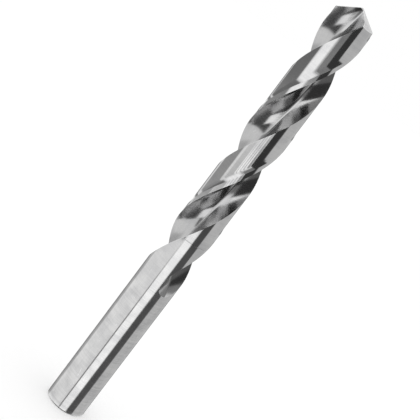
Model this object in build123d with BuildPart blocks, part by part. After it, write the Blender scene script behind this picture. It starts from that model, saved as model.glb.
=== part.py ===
"""Twist drill bit: 16 mm, right-hand helix, two flutes, plain round shank.

The drill stands on the flat end of its shank: the origin is the centre of that face and +Z runs
along the axis to the point.  One solid, in millimetres and degrees.
"""

import os
from math import acos, atan, atan2, cos, degrees, hypot, pi, radians, sin, sqrt, tan

from build123d import *

# Overall sizes
drill_diameter = 16.0  # across the margins at the outer corners of the lips
overall_length = 178.0  # shank end to chisel edge
flute_length = 120.9  # chisel edge to the far end of the run-out
back_taper = 0.1  # loss of diameter from the point to the shank, so the body is free in the hole
shank_chamfer = 0.55

# Flutes
helix_angle = 30.9  # of the leading edge, to the axis
web_thickness = 2.4  # steel left between the two flutes
flute_mouth = 91.3  # angle each flute takes of the outside, seen along the axis
floor_radius = 2.1  # of the hollow between the web and the heel wall
floor_turn = 64.0  # angle that hollow turns through
wheel_radius = 20.6  # of the wheel that leaves the flute in an arc at the run-out

# Lands
margin_arc = 12.1  # full-diameter strip behind each leading edge
clearance_depth = 0.27  # the rest of the land lies this much lower
clearance_length = 98.7  # chisel edge to where that clearance starts

# Point
point_angle = 118.0
flank_setback = 1.6  # tip of a flank's cone, back along its lip from the drill's axis
flank_lean = 4.0  # extra fall of the flank behind the lip

# Sizes that follow
drill_radius = drill_diameter / 2
shank_radius = (drill_diameter - back_taper) / 2
half_web = web_thickness / 2
half_point = radians(point_angle / 2)
lead = pi * drill_diameter / tan(radians(helix_angle))
turn_per_mm = 360 / lead
clearance_radius = drill_radius - clearance_depth
outside = 1.35 * drill_radius  # radius the cutting forms reach to, clear of the bar
flute_depth = drill_radius - half_web
cut_helix = atan(tan(radians(helix_angle)) / 2)  # helix angle half-way down the flute
run_out = sqrt(2 * wheel_radius * flute_depth - flute_depth**2) * cos(cut_helix)
wheel_travel = 1.06 * run_out / cos(cut_helix)  # carries the wheel just clear of the bar
run_out_steps = 8
run_out_height = overall_length - flute_length + run_out
clearance_height = overall_length - clearance_length
form_top = overall_length + 2

# Each lip runs parallel to X, half the web ahead of the axis.  Its flank is a cone with its tip on
# the line of the lip, leaned back about that line; the height of that tip puts the middle of the
# chisel edge at the overall length.
lip_direction = (sin(half_point), 0, -cos(half_point))
cone_axis = Vector(0, 0, -1).rotate(Axis((0, 0, 0), lip_direction), flank_lean)
across = flank_setback * cone_axis.X - half_web * cone_axis.Y
spread = cone_axis.Z**2 - cos(half_point) ** 2
reach = across**2 - (cos(half_point) * hypot(flank_setback, half_web)) ** 2
cone_rise = (across * cone_axis.Z + sqrt((across * cone_axis.Z) ** 2 - spread * reach)) / spread
cone_tip = (-flank_setback, half_web, overall_length + cone_rise)
lip_middle = overall_length + cone_rise - flank_setback / tan(half_point)
corner_reach = sqrt(drill_radius**2 - half_web**2)
corner_height = lip_middle - corner_reach / tan(half_point)


def axis_line(start_height):
    """The drill's axis from a height to the top of the cutting forms."""
    return Edge.make_line((0, 0, start_height), (0, 0, form_top))


def leading_helix(start_height):
    """Helix of the flutes over the same stretch; a section swept along the axis turns with it."""
    return Edge.make_helix(lead, form_top - start_height, drill_radius, center=(0, 0, start_height))


def section_plane(height, lift=0.0):
    """Plane across the axis with X pointing to the deepest place of the flute at that height."""
    turn = radians(90 + turn_per_mm * (height - lip_middle))
    towards = (cos(turn), sin(turn), 0)
    return Plane(origin=(lift * cos(turn), lift * sin(turn), height), x_dir=towards, z_dir=(0, 0, 1))


def polar(radius, angle):
    """Point of a section from its radius and its angle from the deepest place of the flute."""
    return (radius * cos(radians(angle)), radius * sin(radians(angle)))


def rake_angle(along_lip):
    """Angle of the rake face, in a section, at the place on the straight lip it passes through."""
    return degrees(atan2(half_web, along_lip)) - 90 + turn_per_mm * along_lip / tan(half_point)


def flute_section(plane):
    """One flute, cut across the axis: rake face, hollow at the web and heel wall."""
    lip_places = [outside * share for share in (0, 0.1, 0.22, 0.4, 0.6, 0.8, 1)]
    rake_points = [polar(hypot(place, half_web), rake_angle(place)) for place in lip_places]
    heel_angle = rake_angle(corner_reach) + flute_mouth
    wall_end = polar(outside, heel_angle)
    beyond = 1.3 * outside
    with BuildSketch(plane) as section:
        with BuildLine():
            rake = Spline(*rake_points, tangents=[(0, -1), (1, -0.85)])
            floor = JernArc(start=rake @ 0, tangent=(0, 1), radius=floor_radius, arc_size=-floor_turn)
            wall = TangentArc(floor @ 1, polar(drill_radius, heel_angle), tangent=floor % 1)
            Polyline(wall @ 1, wall_end, (beyond, wall_end[1]), (beyond, (rake @ 1).Y), rake @ 1)
        make_face()
    return section.sketch


def clearance_section(plane):
    """Steel off one land, across the axis: a flat falling from the margin, then a lower round."""
    flat_end = rake_angle(corner_reach) - margin_arc - degrees(acos(clearance_radius / drill_radius))
    flat_outside = flat_end + degrees(acos(clearance_radius / outside))
    round_end = rake_angle(corner_reach) + flute_mouth - 180 - margin_arc
    with BuildSketch(plane) as section:
        with BuildLine():
            low = CenterArc((0, 0), clearance_radius, round_end, flat_end - round_end)
            high = CenterArc((0, 0), outside, round_end, flat_outside - round_end)
            Line(low @ 0, high @ 0)
            Line(low @ 1, high @ 1)
        make_face()
    return section.sketch


# What one flute takes away: a twisted cut down from the point, then the arc of the wheel leaving
with BuildPart() as flute_cut:
    start = flute_section(section_plane(run_out_height))
    sweep(start, path=axis_line(run_out_height), binormal=leading_helix(run_out_height))
    lifted = [start]
    for step in range(1, run_out_steps + 1):
        travel = step * wheel_travel / run_out_steps
        lift = wheel_radius - sqrt(wheel_radius**2 - travel**2)
        lifted.append(flute_section(section_plane(run_out_height - travel * cos(cut_helix), lift)))
    loft(lifted)

# What the clearance takes off one land
with BuildPart() as clearance_cut:
    sweep(
        clearance_section(section_plane(clearance_height)),
        path=axis_line(clearance_height),
        binormal=leading_helix(clearance_height),
    )

with BuildPart() as twist_drill:
    # The bar: shank, tapered body and a length for the point to be ground from
    body_start = overall_length - flute_length
    standing = (Align.CENTER, Align.CENTER, Align.MIN)
    Cylinder(shank_radius, body_start, align=standing)
    chamfer(edges().group_by(Axis.Z)[0], shank_chamfer)
    with Locations((0, 0, body_start)):
        Cone(shank_radius, drill_radius, corner_height - body_start, align=standing)
    with Locations((0, 0, corner_height)):
        Cylinder(drill_radius, form_top - corner_height, align=standing)

    for half_turn in (0, 180):
        with Locations(Location((0, 0, 0), (0, 0, half_turn))):
            # Flank: the leaned cone
            with Locations(Plane(origin=cone_tip, z_dir=-cone_axis)):
                Cone(
                    form_top * tan(half_point),
                    0,
                    form_top,
                    align=(Align.CENTER, Align.CENTER, Align.MAX),
                    mode=Mode.INTERSECT,
                )
            add(clearance_cut.part, mode=Mode.SUBTRACT)
            add(flute_cut.part, mode=Mode.SUBTRACT)

os.makedirs("parts", exist_ok=True)
twist_drill.part.label = "twist_drill"
export_step(twist_drill.part, "parts/twist_drill.step")
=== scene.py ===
"""Looks of a 16 mm twist drill: its finely meshed steel, its ground finishes and a small studio.

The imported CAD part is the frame.  It stands on its shank end at the origin with +Z to the point.
The forms below are worked in millimetres and turned to metres as the mesh is made.
"""

import logging
import math
from collections.abc import Callable
from dataclasses import dataclass, field
from enum import Enum

import bpy
import numpy as np
from mathutils import Matrix, Vector
from mathutils.geometry import delaunay_2d_cdt


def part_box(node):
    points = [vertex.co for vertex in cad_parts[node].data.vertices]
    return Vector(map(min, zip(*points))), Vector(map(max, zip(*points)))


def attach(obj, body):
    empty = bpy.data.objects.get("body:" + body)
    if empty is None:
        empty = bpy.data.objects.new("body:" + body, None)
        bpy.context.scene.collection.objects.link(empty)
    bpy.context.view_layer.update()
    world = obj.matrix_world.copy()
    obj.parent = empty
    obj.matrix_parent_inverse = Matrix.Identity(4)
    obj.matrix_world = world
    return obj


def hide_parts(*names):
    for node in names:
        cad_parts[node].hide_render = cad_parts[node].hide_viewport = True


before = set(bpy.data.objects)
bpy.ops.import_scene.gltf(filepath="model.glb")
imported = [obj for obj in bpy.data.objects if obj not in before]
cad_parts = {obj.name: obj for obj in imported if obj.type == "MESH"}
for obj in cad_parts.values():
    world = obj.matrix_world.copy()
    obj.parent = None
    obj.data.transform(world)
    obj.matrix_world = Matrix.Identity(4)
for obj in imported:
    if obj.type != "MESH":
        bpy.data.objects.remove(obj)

NODE = "twist_drill"
METRES = 0.001
# how sharp each edge is, which drives a painted highlight along the edges
EDGE_HIGHLIGHT = "painted_edge_highlight"

NO_AREA = 1e-9  # mm2, below which a cell of a grid is closed to a line or a point
WELD_PLACES = 4  # decimals of a millimetre that points share when they are joined
ROUNDS = 40  # repeats after which a place is found closely enough
ACROSS = np.array([1, 1, 0])  # takes the height out of a point
HALF_TURNS = (0.0, math.pi)  # the first flute and land, then the second

RowMaker = Callable[[float], np.ndarray]
Place = tuple[float, float, float]
Span = tuple[float, float]
Source = float | tuple[float, ...] | bpy.types.NodeSocket

log = logging.getLogger("twist_drill")


class Zone(Enum):
    """A stretch of the surface with a finish of its own; the value is its place in the slots."""

    SHANK = 0
    LAND = 1
    FLUTE = 2
    FLANK = 3
    END_FACE = 4


# Meshing


def put(name: str, data: bpy.types.ID) -> bpy.types.Object:
    """Makes an object in the scene.

    Args:
        name: Its name.
        data: Its mesh or camera.

    Returns:
        The object.
    """
    made = bpy.data.objects.new(name, data)
    bpy.context.scene.collection.objects.link(made)
    return made


def polar(radius: np.ndarray | float, angle: np.ndarray | float) -> np.ndarray:
    """Gives X and Y at a radius and an angle, in radians."""
    return np.stack([radius * np.cos(angle), radius * np.sin(angle)], -1)


def bearing(place: np.ndarray) -> float:
    """Gives the angle of a place from X, in radians."""
    return math.atan2(place[1], place[0])


@dataclass
class Patch:
    """A grid of surface points, rows along the drill, with a rough way out at each.

    Where flat is set, that way out is the normal itself.
    """

    zone: Zone
    points: np.ndarray
    outward: np.ndarray
    flat: bool = False

    def normals(self) -> np.ndarray:
        """Works out the unit normal at every point of the grid.

        Returns:
            An array shaped like the points, on the side that outward points to.
        """
        if self.flat:
            return self.outward
        across = np.gradient(self.points, axis=1, edge_order=2)
        along = np.gradient(self.points, axis=0, edge_order=2)
        found = np.cross(across, along)
        length = np.linalg.norm(found, axis=2, keepdims=True)
        closed = length[..., 0] < NO_AREA
        found = found / np.maximum(length, NO_AREA)
        for row in range(len(found) - 2, -1, -1):
            found[row][closed[row]] = found[row + 1][closed[row]]
        facing = np.sum(found * self.outward, axis=2, keepdims=True)
        return found * np.where(facing < 0, -1.0, 1.0)


@dataclass
class Weave:
    """Gathers faces and makes one closed mesh of them.

    Edges get a painted highlight, a lighter grey, from where they bend by sharp_from degrees, and fully so
    sharp_span above it.
    """

    corners: list[np.ndarray] = field(default_factory=list)
    normals: list[np.ndarray] = field(default_factory=list)
    zones: list[Zone] = field(default_factory=list)
    sharp_from: float = 12.0
    sharp_span: float = 40.0

    def add(self, zone: Zone, corners: np.ndarray, normals: np.ndarray) -> None:
        """Adds one face, turned so that it faces its normals.

        Args:
            zone: The finish it takes.
            corners: Its corners in millimetres, in order.
            normals: The normal at each corner.
        """
        spans = corners[1:] - corners[0]
        area = np.cross(spans[:-1], spans[1:]).sum(axis=0)
        if area @ normals.sum(axis=0) < 0:
            corners, normals = corners[::-1], normals[::-1]
        self.corners.append(corners)
        self.normals.append(normals)
        self.zones.append(zone)

    def add_patch(self, patch: Patch) -> None:
        """Adds a grid as quads.

        Args:
            patch: The grid to add.
        """
        points, normals = patch.points, patch.normals()
        rows, columns = points.shape[:2]
        for row in range(rows - 1):
            for column in range(columns - 1):
                ring = ([row, row, row + 1, row + 1], [column, column + 1, column + 1, column])
                self.add(patch.zone, points[ring[0], ring[1]], normals[ring[0], ring[1]])

    def mesh(self, name: str) -> bpy.types.Mesh:
        """Joins what was gathered into a mesh in metres with its own normals.

        Args:
            name: Name of the mesh.

        Returns:
            The mesh, with each face marked by its zone's place in the slots.
        """
        every = np.concatenate(self.corners)
        joined = np.round(every, WELD_PLACES)
        _, first, where = np.unique(joined, axis=0, return_index=True, return_inverse=True)
        places = iter(where.reshape(-1).tolist())
        faces, normals, zones = [], [], []
        for corners, outward, zone in zip(self.corners, self.normals, self.zones):
            ring = [next(places) for _ in corners]
            kept = [place for place in range(len(ring)) if ring[place] != ring[place - 1]]
            if len(kept) > 2 and len({ring[place] for place in kept}) == len(kept):
                faces.append([ring[place] for place in kept])
                normals.extend(outward[kept].tolist())
                zones.append(zone.value)
        mesh = bpy.data.meshes.new(name)
        mesh.from_pydata((every[first] * METRES).tolist(), [], faces)
        mesh.polygons.foreach_set("material_index", zones)
        mesh.polygons.foreach_set("use_smooth", [True] * len(faces))
        self.mark_edges(mesh)
        mesh.normals_split_custom_set(normals)
        return mesh

    def mark_edges(self, mesh: bpy.types.Mesh) -> None:
        """Stores how sharp the edge at each point is, for the painted edge highlight: nought on smooth
        steel, 1 at most.

        Args:
            mesh: The joined mesh.
        """
        facing = np.array([face.normal[:] for face in mesh.polygons])
        sizes = [face.loop_total for face in mesh.polygons]
        kinds = np.array([face.material_index for face in mesh.polygons])
        edges = [loop.edge_index for loop in mesh.loops]
        ends = np.array([edge.vertices[:] for edge in mesh.edges])
        owners = np.repeat(np.arange(len(sizes)), sizes)[np.argsort(edges, kind="stable")]
        pairs = owners.reshape(-1, 2)  # each edge of a closed mesh has two faces
        sides = facing[pairs]
        bend = np.degrees(np.arccos(np.clip(np.sum(sides[:, 0] * sides[:, 1], axis=1), -1, 1)))
        one, other = kinds[pairs].T
        bend[(one == other) & (one <= Zone.LAND.value)] = 0
        edge_sheen = np.zeros(len(mesh.vertices))
        sharp = np.clip((bend - self.sharp_from) / self.sharp_span, 0, 1)
        np.maximum.at(edge_sheen, ends, sharp[:, None])
        mesh.attributes.new(EDGE_HIGHLIGHT, "FLOAT", "POINT").data.foreach_set("value", edge_sheen)


# The drill's form


@dataclass(frozen=True)
class Bar:
    """The round bar that the drill is ground from.

    Sizes are in millimetres, and its length and radius come from the frame.
    """

    radius: float
    length: float
    flute_length: float = 120.9
    back_taper: float = 0.1
    chamfer: float = 0.55
    point_angle: float = 118.0

    @property
    def half_point(self) -> float:
        """Half the point angle, in radians."""
        return math.radians(self.point_angle / 2)

    @property
    def body_start(self) -> float:
        """Height at which the flutes start to leave the shank."""
        return self.length - self.flute_length

    @property
    def shank_radius(self) -> float:
        """Radius of the shank."""
        return self.radius - self.back_taper / 2

    def radius_at(self, height: float) -> float:
        """Gives the radius of the bar at a height, which grows evenly along the body."""
        corner = self.length - self.radius / math.tan(self.half_point)
        return float(np.interp(height, (self.body_start, corner), (self.shank_radius, self.radius)))


@dataclass(frozen=True)
class PointGrind:
    """The two cone-shaped flanks ground on the end, with straight lips parallel to X."""

    bar: Bar
    web_thickness: float = 2.4
    setback: float = 1.6
    lean: float = 4.0

    @property
    def cone_axis(self) -> np.ndarray:
        """Works out the axis of the first lip's cone.

        Returns:
            The way down it, leaned back about the line of the lip.
        """
        lip = Vector((math.sin(self.bar.half_point), 0, -math.cos(self.bar.half_point)))
        turn = Matrix.Rotation(math.radians(self.lean), 3, lip)
        return np.array(turn @ Vector((0, 0, -1)))

    def drop(self, places: np.ndarray) -> np.ndarray:
        """Gives how far the first lip's cone lies below its own tip.

        Args:
            places: X and Y of points, in the last axis of an array.

        Returns:
            The drop at each point.
        """
        axis, cosine = self.cone_axis, math.cos(self.bar.half_point)
        offset = places - np.array([-self.setback, self.web_thickness / 2])
        along = offset @ axis[:2]
        spread = axis[2] ** 2 - cosine**2
        reach = along**2 - cosine**2 * np.sum(offset**2, axis=-1)
        return (along * axis[2] + np.sqrt((along * axis[2]) ** 2 - spread * reach)) / spread

    @property
    def cone_tip(self) -> np.ndarray:
        """Tip of the first lip's cone, which puts the middle of the chisel edge at full length."""
        rise = float(self.drop(np.zeros(2)))
        return np.array([-self.setback, self.web_thickness / 2, self.bar.length + rise])

    @property
    def lip_middle(self) -> float:
        """Height at which the line of a lip passes the axis."""
        return float(self.cone_tip[2]) - self.setback / math.tan(self.bar.half_point)

    def height(self, places: np.ndarray) -> np.ndarray:
        """Gives the height of the ground point over each X and Y, on the lower cone."""
        drop = np.maximum(self.drop(places), self.drop(-places))
        return self.cone_tip[2] - drop

    def normals(self, points: np.ndarray, first: bool) -> np.ndarray:
        """Gives the unit normals of one flank.

        Args:
            points: Points on it, one in each row.
            first: True for the flank behind the lip at +X.

        Returns:
            The normal at each point.
        """
        turn = np.array([1, 1, 1]) if first else np.array([-1, -1, 1])
        slant = points * turn - self.cone_tip
        slant /= np.linalg.norm(slant, axis=1, keepdims=True)
        found = math.cos(self.bar.half_point) * slant - self.cone_axis
        return found / np.linalg.norm(found, axis=1, keepdims=True) * turn


@dataclass(frozen=True)
class Flutes:
    """The two helical flutes: rake face, hollow, heel wall and the run-out of the wheel.

    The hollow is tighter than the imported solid's, for what it reflects.  The mesh closes cleanly at
    this radius and turn; others near them leave slivers or gaps.  The reaches are in radii and in
    lengths of the wall, and inset is the gap of the last fibre, in gaps of the others.
    """

    bar: Bar
    point: PointGrind
    helix_angle: float = 30.9
    mouth: float = 91.3
    floor_radius: float = 1.15
    floor_turn: float = 45.0
    wheel_radius: float = 20.6
    rake_reach: float = 1.35
    wall_reach: float = 1.4
    rake_samples: int = 200
    hollow_samples: int = 80
    wall_samples: int = 120
    samples: int = 400
    fibres: int = 72
    inset: float = 0.6

    @property
    def turn_per_mm(self) -> float:
        """Radians that the flutes turn through for each millimetre of height."""
        return math.tan(math.radians(self.helix_angle)) / self.bar.radius

    @property
    def half_web(self) -> float:
        """Half the thickness of the web."""
        return self.point.web_thickness / 2

    @property
    def run_out_height(self) -> float:
        """Works out where the wheel starts to leave the steel.

        Returns:
            The height; below it the flute grows shallow.
        """
        depth = self.bar.radius - self.half_web
        chord = math.sqrt(2 * self.wheel_radius * depth - depth**2)
        return self.bar.body_start + chord * math.cos(self.cut_helix)

    @property
    def cut_helix(self) -> float:
        """Helix angle half-way down the flute, in radians."""
        return math.atan(math.tan(math.radians(self.helix_angle)) / 2)

    def turn(self, height: np.ndarray | float) -> np.ndarray | float:
        """Gives the angle of the first flute's deepest place at a height, in radians."""
        return math.pi / 2 + self.turn_per_mm * (height - self.point.lip_middle)

    def rake_angle(self, along_lip: np.ndarray | float) -> np.ndarray | float:
        """Gives the rake face's angle from the deepest place, by how far along the lip it passes."""
        helix = self.turn_per_mm * along_lip / math.tan(self.bar.half_point)
        return np.arctan2(self.half_web, along_lip) - math.pi / 2 + helix

    @property
    def lead_angle(self) -> float:
        """Angle of the leading edge from the deepest place, in radians."""
        return float(self.rake_angle(math.sqrt(self.bar.radius**2 - self.half_web**2)))

    def section(self) -> np.ndarray:
        """Draws the flute across the axis.

        Returns:
            Evenly spaced points from beyond the leading edge to beyond the heel.
        """
        along = np.linspace(self.rake_reach * self.bar.radius, 0, self.rake_samples)
        rake = polar(np.hypot(along, self.half_web), self.rake_angle(along))
        sweep = np.linspace(0, math.radians(self.floor_turn), self.hollow_samples)[1:]
        hollow = np.stack([1 - np.cos(sweep), np.sin(sweep)], 1) * self.floor_radius
        hollow += rake[-1]
        heel_turn = self.lead_angle + math.radians(self.mouth)
        heel = polar(self.bar.radius, heel_turn)
        chord = heel - hollow[-1]
        slack = math.atan2(chord[1], chord[0]) - (math.pi / 2 - sweep[-1])
        share = np.linspace(0, self.wall_reach, self.wall_samples)[1:, None]
        side = np.array([-chord[1], chord[0]])
        wall = hollow[-1] + chord * share - side * share * (1 - share) * math.tan(slack)
        line = np.concatenate([rake, hollow, wall])
        steps = np.concatenate([[0], np.cumsum(np.linalg.norm(np.diff(line, axis=0), axis=1))])
        even = np.linspace(0, steps[-1], self.samples)
        return np.stack([np.interp(even, steps, line[:, axis]) for axis in (0, 1)], 1)

    def lift(self, height: float) -> float:
        """Gives how far the wheel has come out of the steel at a height, nought above the run-out."""
        travel = max(0.0, self.run_out_height - height) / math.cos(self.cut_helix)
        return self.wheel_radius - math.sqrt(max(0.0, self.wheel_radius**2 - travel**2))

    def row(self, height: float, heel_radius: float, inset_radius: float) -> np.ndarray:
        """Gives the flute's points across the axis at a height.

        Args:
            height: Height above the shank end.
            heel_radius: Radius at which the heel wall meets the land.
            inset_radius: Radius of the last fibre but one.

        Returns:
            X and Y of each fibre from lead to heel, X pointing to the deepest place.
        """
        line = self.section() + np.array([self.lift(height), 0])
        radii = np.hypot(line[:, 0], line[:, 1])
        deepest = int(np.argmin(radii))
        count = np.arange(self.samples)
        edge = self.bar.radius_at(height)
        if radii[deepest] >= edge:
            return np.tile([edge, 0.0], (self.fibres + 1, 1))
        lead = np.interp(-edge, -radii[: deepest + 1], count[: deepest + 1])
        heel = np.interp(heel_radius, radii[deepest:], count[deepest:])
        inset = lead + (heel - lead) * (1 - self.inset / self.fibres)
        if height >= self.run_out_height:
            inset = np.interp(inset_radius, radii[deepest:], count[deepest:])
        places = np.append(np.linspace(lead, inset, self.fibres), heel)
        found = np.stack([np.interp(places, count, line[:, axis]) for axis in (0, 1)], 1)
        found[0] *= edge / np.linalg.norm(found[0])
        found[-1] *= heel_radius / np.linalg.norm(found[-1])
        return found


@dataclass(frozen=True)
class Lands:
    """The outside of the body: a full-diameter margin behind each lead, then lower ground."""

    bar: Bar
    flutes: Flutes
    margin_arc: float = 12.1
    clearance_depth: float = 0.27
    clearance_length: float = 98.7
    margin_fibres: int = 8
    flat_fibres: int = 8
    round_fibres: int = 32

    @property
    def clearance_height(self) -> float:
        """Height at which the clearance starts."""
        return self.bar.length - self.clearance_length

    @property
    def clearance_radius(self) -> float:
        """Radius of the land behind the margin."""
        return self.bar.radius - self.clearance_depth

    def margin_end(self, height: float) -> float:
        """Gives where the margin ends.

        Args:
            height: Height above the shank end.

        Returns:
            The angle from the deepest place of the flute, in radians.
        """
        full = math.acos(self.clearance_radius / self.bar.radius)
        here = math.acos(self.clearance_radius / self.bar.radius_at(height))
        return self.flutes.lead_angle - math.radians(self.margin_arc) - full + here

    def margin_row(self, height: float) -> np.ndarray:
        """Gives the margin's points across the axis.

        Args:
            height: Height above the shank end.

        Returns:
            X and Y of each fibre from the leading edge back.
        """
        start = bearing(self.flutes.row(height, self.clearance_radius, self.clearance_radius)[0])
        angles = np.linspace(start, self.margin_end(height), self.margin_fibres + 1)
        return polar(self.bar.radius_at(height), angles)

    def clearance_row(self, height: float) -> np.ndarray:
        """Gives the points of the lower land across the axis.

        Args:
            height: Height above the shank end.

        Returns:
            X and Y of each fibre, along the flat and round to the heel.
        """
        low = self.clearance_radius
        start = self.margin_row(height)[-1]
        tangent = self.margin_end(height) - math.acos(low / self.bar.radius_at(height))
        meet = polar(low, tangent)
        flat = start + (meet - start) * np.linspace(0, 1, self.flat_fibres + 1)[:, None]
        finish = bearing(-self.flutes.row(height, low, low)[-1])
        angles = np.linspace(tangent, finish, self.round_fibres + 1)[1:]
        return np.concatenate([flat, polar(low, angles)])

    def full_row(self, height: float) -> np.ndarray:
        """Gives the points of the land at full diameter, below where the clearance starts.

        Args:
            height: Height above the shank end.

        Returns:
            X and Y of each fibre from the leading edge to the heel.
        """
        edge = self.bar.radius_at(height)
        row = self.flutes.row(height, edge, self.clearance_radius)
        start, finish = bearing(row[0]), bearing(row[-1]) - math.pi
        step = self.clearance_height
        lead = bearing(self.margin_row(step)[0])
        top = self.flutes.row(step, self.bar.radius_at(step), self.clearance_radius)[-1]
        heel = bearing(top) - math.pi
        split = (self.margin_end(step) - lead) / (heel - lead)
        margin = np.linspace(0, split, self.margin_fibres + 1)
        rest = np.linspace(split, 1, self.flat_fibres + self.round_fibres + 1)[1:]
        angles = start + (finish - start) * np.concatenate([margin, rest])
        return polar(edge, angles)


@dataclass
class Drill:
    """The whole drill as one piece of steel.

    The rows lie closer together towards the start of the run-out, by the power of crowding, and
    no point inside a flank lies nearer to its lines than flank_clear of the pitch.
    """

    bar: Bar
    point: PointGrind
    flutes: Flutes
    lands: Lands
    top_block: float = 10.0
    top_rows: int = 16
    body_pitch: float = 0.6
    run_out_rows: int = 40
    crowding: float = 1.6
    shank_rows: int = 24
    face_rings: int = 9
    chisel_steps: int = 8
    flank_pitch: float = 0.4
    flank_clear: float = 0.6

    def place(self, row: np.ndarray, height: np.ndarray | float, half_turn: float) -> np.ndarray:
        """Turns a row from the flute's frame to the drill's.

        Args:
            row: X and Y of points, X pointing to the deepest place of the flute.
            height: Their height, or the height of each.
            half_turn: One of HALF_TURNS.

        Returns:
            The points in millimetres.
        """
        turn = self.flutes.turn(height) + half_turn
        east = row[:, 0] * np.cos(turn) - row[:, 1] * np.sin(turn)
        north = row[:, 0] * np.sin(turn) + row[:, 1] * np.cos(turn)
        return np.stack([east, north, np.broadcast_to(height, east.shape)], 1)

    def ground_end(self, row: np.ndarray) -> np.ndarray:
        """Finds where each fibre comes out at the point.

        Args:
            row: X and Y of the fibres in the flute's frame.

        Returns:
            The height of the flank over each fibre.
        """
        height = np.full(len(row), self.bar.length)
        for _ in range(ROUNDS):
            height = self.point.height(self.place(row, height, 0.0)[:, :2])
        return height

    def even(self, low: float, high: float) -> np.ndarray:
        """Gives even heights from low to high, no further apart than the pitch of the body."""
        return np.linspace(low, high, math.ceil((high - low) / self.body_pitch) + 1)

    def lower_rows(self, make_row: RowMaker, half_turn: float) -> list[np.ndarray]:
        """Places the rows from the start of the flutes up to where the clearance starts.

        Args:
            make_row: Gives the row at a height.
            half_turn: One of HALF_TURNS.

        Returns:
            The placed rows from low to high.
        """
        start, mid = self.bar.body_start, self.flutes.run_out_height
        shares = np.linspace(0, 1, self.run_out_rows + 1) ** self.crowding
        upper = self.even(mid, self.lands.clearance_height)[1:]
        heights = np.concatenate([start + (mid - start) * shares, upper])
        return [self.place(make_row(height), height, half_turn) for height in heights]

    def upper_rows(self, make_row: RowMaker, half_turn: float) -> list[np.ndarray]:
        """Places the rows from where the clearance starts to the point.

        Args:
            make_row: Gives the row at a height.
            half_turn: One of HALF_TURNS.

        Returns:
            The placed rows from low to high, the last one on the flanks.
        """
        start = self.bar.length - self.top_block
        heights = self.even(self.lands.clearance_height, start)
        placed = [self.place(make_row(height), height, half_turn) for height in heights]
        corner = self.point.lip_middle - self.bar.radius / math.tan(self.bar.half_point)
        end = self.ground_end(make_row(corner))
        for share in np.linspace(0, 1, self.top_rows + 1)[1:]:
            row = make_row(start + (corner - start) * share)
            placed.append(self.place(row, start + (end - start) * share, half_turn))
        return placed

    def towards_mouth(self, points: np.ndarray, half_turn: float) -> np.ndarray:
        """Points from a flute's surface to the middle of its mouth.

        Args:
            points: Grid of points on the flute.
            half_turn: One of HALF_TURNS.

        Returns:
            A rough way out of the steel at each point.
        """
        turn = self.flutes.turn(points[..., 2]) + half_turn
        mouth = self.bar.radius * np.stack([np.cos(turn), np.sin(turn), 0 * turn], -1)
        return mouth - points * ACROSS

    def weave_flute(self, weave: Weave, half_turn: float) -> np.ndarray:
        """Adds one flute.

        Args:
            weave: Takes the faces.
            half_turn: One of HALF_TURNS.

        Returns:
            Its last row, on the point, from lead to heel.
        """
        low = self.lands.clearance_radius
        below = self.lower_rows(
            lambda height: self.flutes.row(height, self.bar.radius_at(height), low), half_turn
        )
        above = self.upper_rows(lambda height: self.flutes.row(height, low, low), half_turn)
        for rows in (below, above):
            grid = np.array(rows)
            weave.add_patch(Patch(Zone.FLUTE, grid, self.towards_mouth(grid, half_turn)))
        return above[-1]

    def weave_land(self, weave: Weave, half_turn: float) -> np.ndarray:
        """Adds one land with its half of the shank.

        Args:
            weave: Takes the faces.
            half_turn: One of HALF_TURNS.

        Returns:
            Its last row, on the point, from the leading edge to the heel.
        """
        full = self.lower_rows(self.lands.full_row, half_turn)
        margin = self.upper_rows(self.lands.margin_row, half_turn)
        lower = self.upper_rows(self.lands.clearance_row, half_turn)
        self.weave_shank(weave, full[0])
        for rows in (full, margin, lower):
            self.add_round(weave, Zone.LAND, rows)
        ledge = [full[-1][self.lands.margin_fibres :], lower[0]]
        self.add_level(weave, Zone.LAND, ledge, 1.0)
        return np.concatenate([margin[-1], lower[-1][1:]])

    def weave_shank(self, weave: Weave, seam: np.ndarray) -> None:
        """Adds half of the shank with its chamfer and end face.

        Args:
            weave: Takes the faces.
            seam: The placed row at which the land starts.
        """
        heights = np.linspace(self.bar.body_start, self.bar.chamfer, self.shank_rows)[1:]
        shank = [seam, *(seam * ACROSS + np.array([0, 0, height]) for height in heights)]
        self.add_round(weave, Zone.SHANK, shank)
        rim = shank[-1]
        inner = rim * ACROSS * (1 - self.bar.chamfer / self.bar.shank_radius)
        cut = [rim + (inner - rim) * share for share in (0, 0.5, 1)]
        self.add_round(weave, Zone.END_FACE, cut, self.bar.shank_radius)
        face = [inner * share for share in np.linspace(1, 0, self.face_rings)]
        self.add_level(weave, Zone.END_FACE, face, -1.0)

    def add_round(self, weave: Weave, zone: Zone, rows: list[np.ndarray], down: float = 0.0) -> None:
        """Adds rows of the outside, whose way out may lean down by so many millimetres."""
        grid = np.array(rows)
        weave.add_patch(Patch(zone, grid, grid * ACROSS - np.array([0, 0, down])))

    def add_level(self, weave: Weave, zone: Zone, rows: list[np.ndarray], facing: float) -> None:
        """Adds rows that lie in one level plane.

        Args:
            weave: Takes the faces.
            zone: The finish.
            rows: Placed rows of the same length.
            facing: 1 if the plane faces up, -1 if it faces down.
        """
        grid = np.array(rows)
        outward = np.broadcast_to(np.array([0.0, 0.0, facing]), grid.shape)
        weave.add_patch(Patch(zone, grid, outward, flat=True))

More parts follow.
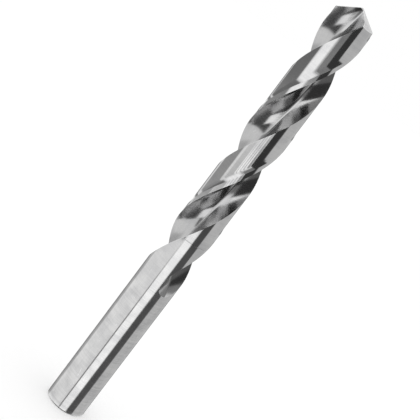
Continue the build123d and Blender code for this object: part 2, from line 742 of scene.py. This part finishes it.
    def weave_flanks(self, weave: Weave, outline: np.ndarray) -> None:
        """Adds both flanks and the chisel edge between them.

        Args:
            weave: Takes the faces.
            outline: The closed line round the point, in order.
        """
        flat = outline[:, :2]
        ends = [self.chisel_end(flat, half) for half in (0, 1)]
        radii = np.linspace(np.linalg.norm(flat[ends[0]]), 0, self.chisel_steps)[1:]
        half = np.array([self.chisel_place(radius) for radius in radii])
        chisel = np.concatenate([half, -half[-2::-1]])
        lines = np.concatenate([flat, chisel])
        reach = self.bar.radius
        spots = np.arange(-reach, reach, self.flank_pitch)
        inside = [
            spot
            for spot in np.stack(np.meshgrid(spots, spots), -1).reshape(-1, 2)
            if np.min(np.linalg.norm(lines - spot, axis=1)) > self.flank_clear * self.flank_pitch
            and self.within(flat, spot)
        ]
        every = np.concatenate([lines, np.array(inside)])
        count = len(flat)
        path = [ends[0], *range(count, count + len(chisel)), ends[1]]
        inside_only, same = 1, 1e-6
        edges, faces = list(zip(path[:-1], path[1:])), [list(range(count))]
        made = delaunay_2d_cdt([Vector(place) for place in every], edges, faces, inside_only, same)
        plan = np.array([tuple(place) for place in made[0]])
        solid = np.column_stack([plan, self.point.height(plan)])
        for corners in made[2]:
            points = solid[corners]
            middle = points[:, :2].mean(axis=0)
            first = bool(self.point.drop(middle) >= self.point.drop(-middle))
            weave.add(Zone.FLANK, points, self.point.normals(points, first))

    def chisel_end(self, flat: np.ndarray, half: int) -> int:
        """Finds the point of the outline where the chisel edge ends.

        Args:
            flat: The outline in plan.
            half: Nought for the first flute's half of the outline, 1 for the second's.

        Returns:
            The place of that point in the outline.
        """
        start = half * len(flat) // 2
        near = flat[start : start + self.flutes.fibres]
        gap = self.point.drop(near) - self.point.drop(-near)
        crossing = int(np.argmax(gap * gap[0] < 0))
        return start + crossing - int(abs(gap[crossing - 1]) < abs(gap[crossing]))

    def chisel_place(self, radius: float) -> np.ndarray:
        """Finds the chisel edge at a distance from the axis, on the first lip's side.

        Args:
            radius: Distance from the axis.

        Returns:
            X and Y of the place where the two cones are equally high.
        """
        low, high = 0.0, math.pi / 2
        for _ in range(ROUNDS):
            turn = (low + high) / 2
            spot = polar(radius, turn)
            if self.point.drop(spot) > self.point.drop(-spot):
                low = turn
            else:
                high = turn
        return polar(radius, low)

    def within(self, outline: np.ndarray, spot: np.ndarray) -> bool:
        """Tells whether a point lies inside a closed outline.

        Args:
            outline: X and Y of the outline, in order.
            spot: X and Y of the point.

        Returns:
            True inside.
        """
        after = np.roll(outline, -1, axis=0)
        spans = (outline[:, 1] > spot[1]) != (after[:, 1] > spot[1])
        rise = np.where(spans, after[:, 1] - outline[:, 1], 1)
        cross = outline[:, 0] + (after[:, 0] - outline[:, 0]) * (spot[1] - outline[:, 1]) / rise
        return bool(np.sum(spans & (spot[0] < cross)) % 2)

    def build(self) -> bpy.types.Object:
        """Makes the drill's mesh object.

        Returns:
            The object, linked to the scene.
        """
        weave = Weave()
        flutes = [self.weave_flute(weave, half_turn) for half_turn in HALF_TURNS]
        lands = [self.weave_land(weave, half_turn) for half_turn in HALF_TURNS]
        outline = [flutes[0][:-2], lands[1][:0:-1], flutes[1][:-2], lands[0][:0:-1]]
        self.weave_flanks(weave, np.concatenate(outline))
        return put("drill_steel", weave.mesh("drill_steel"))


# Finishes


class Lay(Enum):
    """The way the fine lines of a ground surface run."""

    ROUND = "round the drill"
    HELIX = "along the flute"
    RINGS = "round the axis, on a face across it"


@dataclass
class Bench:
    """A node tree and short ways to add nodes to it."""

    tree: bpy.types.NodeTree

    @classmethod
    def on(cls, owner: bpy.types.Material | bpy.types.World) -> "Bench":
        """Clears the nodes of a material or a world to work on them.

        Args:
            owner: The material or the world.

        Returns:
            The bench.
        """
        owner.use_nodes = True
        owner.node_tree.nodes.clear()
        return cls(owner.node_tree)

    def add(self, kind: str, settings: dict | None = None, **inputs: Source) -> bpy.types.Node:
        """Adds a node and fills its inputs.

        Args:
            kind: Blender's name for the node, without ShaderNode.
            settings: Properties of the node.
            inputs: A value or a socket for each input, by its name with _ for a space, or by
                its number after an n.

        Returns:
            The node.
        """
        node = self.tree.nodes.new("ShaderNode" + kind)
        for name, value in (settings or {}).items():
            setattr(node, name, value)
        for name, value in inputs.items():
            key = int(name[1:]) if name[1:].isdigit() else name.replace("_", " ")
            if isinstance(value, bpy.types.NodeSocket):
                self.tree.links.new(value, node.inputs[key])
            else:
                node.inputs[key].default_value = value
        return node

    def math(self, operation: str, first: Source, second: Source = 0.0) -> bpy.types.NodeSocket:
        """Adds a sum of two numbers, by Blender's name for it, and gives its result."""
        return self.add("Math", {"operation": operation}, n0=first, n1=second).outputs[0]

    def mix(self, share: Source, first: Source, second: Source) -> bpy.types.NodeSocket:
        """Adds a mix of two colours, with that share of the second, and gives its result."""
        return self.add("Mix", {"data_type": "RGBA"}, n0=share, n6=first, n7=second).outputs[2]

    def spread(self, value: Source, ends: Span, to: Span = (0.0, 1.0)) -> bpy.types.NodeSocket:
        """Maps the range between two ends smoothly onto another and gives the result."""
        limits = dict(From_Min=ends[0], From_Max=ends[1], To_Min=to[0], To_Max=to[1])
        return self.add("MapRange", {"interpolation_type": "SMOOTHSTEP"}, Value=value, **limits).outputs[0]

    def noise(
        self, place: Source, scale: float = 1.0, detail: float = 2.0, roughness: float = 0.5
    ) -> bpy.types.NodeSocket:
        """Adds a cloudy pattern and gives its value."""
        return self.add("TexNoise", Vector=place, Scale=scale, Detail=detail, Roughness=roughness).outputs[0]

    def stretch(self, place: Source, scale: Place) -> bpy.types.NodeSocket:
        """Scales coordinates along each axis and gives the new ones."""
        return self.add("Mapping", Vector=place, Scale=scale).outputs[0]


def even_grey(level: float, tint: Place = (1, 1, 1)) -> tuple[float, ...]:
    """Gives the colour of a grey from its linear level, neutral unless it is tinted."""
    return (*(level * part for part in tint), 1)


@dataclass(frozen=True)
class GroundSteel:
    """Bright high speed steel as one kind of grinding leaves it.

    Scales are in marks for each metre, those of round and helix along the lines.  Greys are linear,
    and turn is the twist of the flutes in radians for each metre.  Shares are those of the lines,
    of broad bands of them and of clouds in the patchiness.  Each pair of ends is the range of a
    pattern over which its effect grows, and rub_bite is how far rubbing widens the painted
    highlight along sharp edges.  That lighter grey is painted light, and the nicks are real wear.
    """

    name: str
    lay: Lay
    grey: float
    shade: float
    roughness: Span
    line_scale: float
    depth: float
    turn: float = 0.0
    # lighter grey of the painted edge highlight and of the real nicks
    sheen_and_wear_grey: float = 0.80
    rub: float = 0.10
    nicks: float = 0.25
    sheen_and_wear_rough: float = 0.08
    cloud_scale: float = 140.0
    rub_scale: float = 620.0
    nick_scale: Place = (1500, 1500, 420)
    band_stretch: Place = (0.12, 0.12, 0.12)
    shares: Place = (0.25, 0.2, 0.55)
    tone_ends: Span = (0.35, 0.65)
    matt_ends: Span = (0.3, 0.7)
    edge_ends: Span = (0.6, 1.2)
    nick_ends: Span = (0.70, 0.77)
    rub_ends: Span = (0.62, 0.74)
    rub_bite: float = 0.5
    cool_tint: Place = (1, 1, 1.01)
    warm_tint: Place = (1.003, 1, 0.995)
    line_relief: float = 0.00002
    round_scale: float = 90.0
    helix_scale: float = 60.0

    def lay_place(self, bench: Bench) -> bpy.types.NodeSocket:
        """Gives coordinates that are drawn out along the grinding lines.

        Args:
            bench: Takes the nodes.

        Returns:
            The socket of the coordinates.
        """
        place = bench.add("TexCoord").outputs["Object"]
        if self.lay is Lay.ROUND:
            return bench.stretch(place, (self.round_scale, self.round_scale, self.line_scale))
        east, north, height = bench.add("SeparateXYZ", Vector=place).outputs
        if self.lay is Lay.HELIX:
            back = bench.math("MULTIPLY", height, -self.turn)
            turned = bench.add("VectorRotate", {"rotation_type": "Z_AXIS"}, Vector=place, Angle=back)
            scale = (self.line_scale, self.line_scale, self.helix_scale)
            return bench.stretch(turned.outputs[0], scale)
        squares = [bench.math("POWER", way, 2.0) for way in (east, north)]
        radius = bench.math("SQRT", bench.math("ADD", *squares))
        rings = bench.math("MULTIPLY", radius, self.line_scale)
        return bench.add("CombineXYZ", X=rings, Y=bench.math("ARCTAN2", north, east)).outputs[0]

    def make(self) -> bpy.types.Material:
        """Makes the material.

        Returns:
            The material, named after the finish.
        """
        material = bpy.data.materials.new(self.name)
        bench = Bench.on(material)
        place = bench.add("TexCoord").outputs["Object"]
        along = self.lay_place(bench)
        lines = bench.noise(along, detail=3.0, roughness=0.6)
        bands = bench.noise(bench.stretch(along, self.band_stretch))
        clouds = bench.noise(place, self.cloud_scale, detail=4.0, roughness=0.55)
        rubs = bench.noise(place, self.rub_scale, detail=5.0, roughness=0.7)
        pairs = zip((lines, bands, clouds), self.shares)
        parts = [bench.math("MULTIPLY", pattern, share) for pattern, share in pairs]
        blend = bench.math("ADD", parts[0], bench.math("ADD", *parts[1:]))
        cool, warm = even_grey(self.shade, self.cool_tint), even_grey(self.grey, self.warm_tint)
        tone = bench.mix(bench.spread(blend, self.tone_ends), cool, warm)
        # sharp edges, widened by rubs, turn lighter: a painted edge highlight; the nicks are real wear
        edge_sheen = bench.add("Attribute", {"attribute_name": EDGE_HIGHLIGHT}).outputs["Fac"]
        rubbed_sheen = bench.math("ADD", edge_sheen, bench.math("MULTIPLY", rubs, self.rub_bite))
        specks = bench.noise(bench.stretch(place, self.nick_scale), detail=1.0)
        nicked = bench.spread(specks, self.nick_ends, (0.0, self.nicks))
        sheen_and_nicks = bench.math("MAXIMUM", bench.spread(rubbed_sheen, self.edge_ends), nicked)
        matt = bench.spread(blend, self.matt_ends, self.roughness[::-1])
        rubbed = bench.math("ADD", matt, bench.spread(rubs, self.rub_ends, (0.0, self.rub)))
        bump = bench.add("Bump", Strength=self.depth, Distance=self.line_relief, Height=lines)
        shader = bench.add(
            "BsdfPrincipled",
            Base_Color=bench.mix(sheen_and_nicks, tone, even_grey(self.sheen_and_wear_grey)),
            Metallic=1.0,
            Roughness=bench.math("ADD", rubbed, bench.math("MULTIPLY", sheen_and_nicks, self.sheen_and_wear_rough)),
            Normal=bump.outputs[0],
        )
        bench.add("OutputMaterial", Surface=shader.outputs[0])
        return material


def drill_finishes(turn: float) -> list[GroundSteel]:
    """Lists the finishes in the order of the zones.

    Args:
        turn: Twist of the flutes in radians for each metre.

    Returns:
        One finish for each zone.
    """
    return [
        GroundSteel(
            "ground_shank", Lay.ROUND, grey=0.70, shade=0.52, roughness=(0.08, 0.15),
            line_scale=6000, depth=0.05, rub=0.08, nicks=0.7,
        ),
        GroundSteel(
            "ground_land", Lay.ROUND, grey=0.67, shade=0.55, roughness=(0.07, 0.12),
            line_scale=6000, depth=0.04, rub=0.05,
        ),
        GroundSteel(
            "polished_flute", Lay.HELIX, turn=turn, grey=0.54, shade=0.46, roughness=(0.12, 0.19),
            line_scale=2200, depth=0.03, rub=0.06,
        ),
        GroundSteel(
            "ground_flank", Lay.RINGS, grey=0.64, shade=0.55, roughness=(0.20, 0.30),
            line_scale=3500, depth=0.15,
        ),
        GroundSteel(
            "turned_end", Lay.RINGS, grey=0.58, shade=0.50, roughness=(0.22, 0.34),
            line_scale=2500, depth=0.20,
        ),
    ]


# Studio

CARD_REACH = 1.5  # metres from the drill to the nearest card
CARD_GAP = 0.03  # metres from a card to the next one behind it
CARD_CENTRE = 0.09  # height of the middle of the drill, in metres


@dataclass(frozen=True)
class Card:
    """A soft-edged card that only polished surfaces see, part of a large sphere round the drill.

    Angles are in degrees: azimuth from below the camera towards the right, elevation from the
    level of the drill.  Level is how bright it is, where 1 is white, and shear moves the card's
    azimuth by so many degrees for each degree of elevation.
    """

    name: str
    azimuth: Span
    elevation: Span
    level: float
    soft: float
    shear: float = 0.0
    steps: int = 16

    def place(self, order: int, facing: float) -> bpy.types.Object:
        """Makes the card as part of the sphere.

        Args:
            order: Cards of a lower order hang in front of those of a higher one.
            facing: Azimuth of the camera in the frame, in degrees.

        Returns:
            The card, as part of the studio.
        """
        radius = CARD_REACH + CARD_GAP * order
        middle = sum(self.elevation) / 2

        def corner(turned: float, rise: float) -> Place:
            """Gives a place on the sphere from its azimuth and elevation."""
            level, angle = np.radians([rise, facing + (turned + self.shear * (rise - middle))])
            return (*polar(radius * np.cos(level), angle), CARD_CENTRE + radius * np.sin(level))

        return self.hang(corner)

    def stand_close(self, facing: float, radius: float) -> bpy.types.Object:
        """Makes the card as part of an upright drum close round the drill.

        Args:
            facing: Azimuth of the camera in the frame, in degrees.
            radius: Radius of the drum, in metres; the elevations are heights in millimetres.

        Returns:
            The card, as part of the studio.
        """

        def corner(turned: float, rise: float) -> Place:
            """Gives a place on the drum from its azimuth and height."""
            return (*polar(radius, math.radians(facing + turned)), rise * METRES)

        return self.hang(corner)

    def hang(self, corner: Callable[[float, float], Place]) -> bpy.types.Object:
        """Makes the card's object, seen by polished surfaces alone.

        Args:
            corner: Gives a place in metres from an azimuth and an elevation.

        Returns:
            The card, as part of the studio.
        """
        (left, right), (bottom, top) = self.azimuth, self.elevation
        shares = [step / self.steps for step in range(self.steps + 1)]
        spots = [(share, rise) for rise in shares for share in shares]
        corners = [
            corner(left + (right - left) * share, bottom + (top - bottom) * rise)
            for share, rise in spots
        ]
        wide = self.steps + 1
        firsts = [row * wide + column for row in range(self.steps) for column in range(self.steps)]
        faces = [(first, first + 1, first + wide + 1, first + wide) for first in firsts]
        mesh = bpy.data.meshes.new(self.name)
        mesh.from_pydata(corners, [], faces)
        layer = mesh.uv_layers.new(name="card")
        for loop in mesh.loops:
            layer.data[loop.index].uv = spots[loop.vertex_index]
        mesh.materials.append(self.paper())
        card = put(self.name, mesh)
        for ray in ("camera", "diffuse", "transmission", "volume_scatter", "shadow"):
            setattr(card, "visible_" + ray, False)
        return card

    def paper(self) -> bpy.types.Material:
        """Makes the card's material, which fades out at its edges.

        Returns:
            The material.
        """
        material = bpy.data.materials.new(self.name)
        bench = Bench.on(material)
        spot = bench.add("SeparateXYZ", Vector=bench.add("TexCoord").outputs["UV"])
        fades = []
        for axis, (start, end) in (("X", self.azimuth), ("Y", self.elevation)):
            edge = bench.math("PINGPONG", spot.outputs[axis], 0.5)
            fades.append(bench.spread(edge, (0.0, min(0.5, self.soft / (end - start)))))
        shown = bench.math("MULTIPLY", *fades)
        light = bench.add("Emission", Strength=self.level)
        clear = bench.add("BsdfTransparent")
        mixed = bench.add("MixShader", n0=shown, n1=clear.outputs[0], n2=light.outputs[0])
        bench.add("OutputMaterial", Surface=mixed.outputs[0])
        return material


@dataclass(frozen=True)
class Floor:
    """A plain pale floor that the shank stands on; lengths in metres."""

    reach: float = 3.0
    grey: float = 0.80
    grain: float = 0.01
    grain_scale: float = 300.0
    lift: float = 0.24

    def place(self) -> bpy.types.Object:
        """Makes the floor, as part of the studio.

        Returns:
            The floor.
        """
        mesh = bpy.data.meshes.new("floor")
        far = self.reach
        mesh.from_pydata(
            [(-far, -far, 0), (far, -far, 0), (far, far, 0), (-far, far, 0)], [], [(0, 1, 2, 3)]
        )
        material = bpy.data.materials.new("floor_paper")
        bench = Bench.on(material)
        grain = bench.noise(bench.add("TexCoord").outputs["Object"], self.grain_scale)
        low, high = even_grey(self.grey - self.grain), even_grey(self.grey + self.grain)
        paper = bench.add("BsdfDiffuse", Color=bench.mix(grain, low, high))
        seen = bench.math("MULTIPLY", bench.add("LightPath").outputs["Is Camera Ray"], self.lift)
        light = bench.add("Emission", Strength=seen)
        both = bench.add("AddShader", n0=paper.outputs[0], n1=light.outputs[0])
        bench.add("OutputMaterial", Surface=both.outputs[0])
        mesh.materials.append(material)
        floor = put("floor", mesh)
        floor.visible_glossy = False
        return floor


@dataclass(frozen=True)
class Studio:
    """The soft white room: an even world, cards for the steel to reflect, and the floor."""

    facing: float
    level: float = 1.0
    cards: tuple[Card, ...] = (
        Card("stripe_first", (-14, -10), (-14, -5), 0.62, 1.5),
        Card("stripe_second", (-3, 1), (-14, -5), 0.62, 1.5),
        Card("stripe_third", (7, 12), (-14, -5), 0.55, 1.5),
        Card("stripe_fourth", (17, 28), (-14, -5), 0.42, 2),
        Card("slit", (-3, 3), (-9, 14), 0.62, 2),
        Card("softbox_dim", (-46, -17), (-15, -6), 0.70, 2),
        Card("softbox_lines", (-18, 27), (-15, -6), 1.28, 2),
        Card("softbox_low", (-12, 29), (-34, -9), 1.34, 4),
        Card("softbox_high", (-48, -6), (-7, 16), 1.30, 5),
        Card("softbox_top", (-50, -14), (12, 60), 1.40, 7),
        Card("softbox_side", (-84, -40), (12, 27), 1.30, 5),
        Card("flag_right_high", (27.5, 66), (-15, 18), 0.05, 4),
        Card("flag_right", (28, 71), (-38, 0), 0.11, 5),
        Card("flag_near", (-5, 42), (-5, 18), 0.27, 4),
        Card("flag_above", (-24, 46), (12, 62), 0.05, 6),
        Card("flag_above_right", (16, 84), (19, 62), 0.16, 8),
        Card("flag_arc", (-32, 11), (-60, -9), 0.09, 7, -1.23),
        Card("flag_below", (-14, 60), (-62, -27), 0.09, 7, -0.8),
        Card("flag_back_right", (152, 168), (-40, 22), 0.28, 4),
        Card("softbox_back", (174, 206), (-40, 40), 1.25, 5),
        Card("flag_back_left", (208, 224), (-40, 22), 0.28, 4),
        Card("grey_left", (-135, -48), (-9, 20), 0.20, 7),
        Card("grey_left_low", (-125, -56), (-16, -2), 0.38, 6),
        Card("grey_far_left", (-200, -112), (-40, -10), 0.52, 10),
        Card("grey_low_left", (-135, -66), (-68, -24), 0.66, 18),
        Card("paper_behind", (115, 215), (14, 70), 0.95, 8),
        Card("grey_top", (-60, 130), (14, 80), 0.34, 8),
        Card("grey_right", (60, 175), (-44, 20), 0.64, 6),
        Card("flag_floor", (100, 260), (-88, -48), 0.05, 4),
    )
    reflector: Card = Card("shank_reflector", (-62, -12.3), (-65, 72), 1.0, 3)
    reflector_radius: float = 0.04

    def build(self) -> None:
        """Makes the world, the cards and the floor."""
        world = bpy.data.worlds.new("soft_room")
        bench = Bench.on(world)
        light = bench.add("Background", Color=even_grey(1.0), Strength=self.level)
        bench.add("OutputWorld", Surface=light.outputs[0])
        bpy.context.scene.world = world
        for order, card in enumerate(self.cards):
            card.place(order, self.facing)
            log.info("%s: card", card.name)
        self.reflector.stand_close(self.facing, self.reflector_radius)
        log.info("%s: card", self.reflector.name)
        Floor().place()
        log.info("floor: paper")


@dataclass(frozen=True)
class Viewpoint:
    """Where the camera stands: lengths in metres, angles in degrees."""

    aim: Place = (-0.00015, 0.00005, 0.09127)
    distance: float = 0.36835
    azimuth: float = -20.018
    elevation: float = 12.606
    roll: float = 37.072
    lens: float = 89.734

    @property
    def facing(self) -> float:
        """Azimuth of the camera from the drill, from +X, in degrees."""
        return self.azimuth - 90

    def place(self) -> None:
        """Makes the camera and hands it to the scene."""
        angle, elevation = math.radians(self.facing), math.radians(self.elevation)
        level = math.cos(elevation)
        back = Vector((level * math.cos(angle), level * math.sin(angle), math.sin(elevation)))
        camera = put("camera", bpy.data.cameras.new("camera"))
        camera.data.lens = self.lens
        camera.data.clip_start, camera.data.clip_end = 0.01, 20
        camera.location = Vector(self.aim) + back * self.distance
        roll = Matrix.Rotation(math.radians(self.roll), 3, "Z").to_quaternion()
        camera.rotation_mode = "QUATERNION"
        camera.rotation_quaternion = (-back).to_track_quat("-Z", "Y") @ roll
        bpy.context.scene.camera = camera


def main() -> None:
    """Builds the drill and its studio in order, and reports each piece."""
    logging.basicConfig(level=logging.INFO, format="%(name)s: %(message)s")
    bpy.context.scene.view_settings.view_transform = "Standard"
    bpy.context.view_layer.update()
    low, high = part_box(NODE)
    bar = Bar(radius=(high.x - low.x) / 2 / METRES, length=(high.z - low.z) / METRES)
    point = PointGrind(bar)
    flutes = Flutes(bar, point)
    drill = Drill(bar, point, flutes, Lands(bar, flutes)).build()
    for finish in drill_finishes(flutes.turn_per_mm / METRES):
        drill.data.materials.append(finish.make())
    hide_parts(NODE)
    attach(drill, "root")
    log.info("%s: %d faces", drill.name, len(drill.data.polygons))
    view = Viewpoint()
    view.place()
    Studio(view.facing).build()


if __name__ == "__main__":
    main()
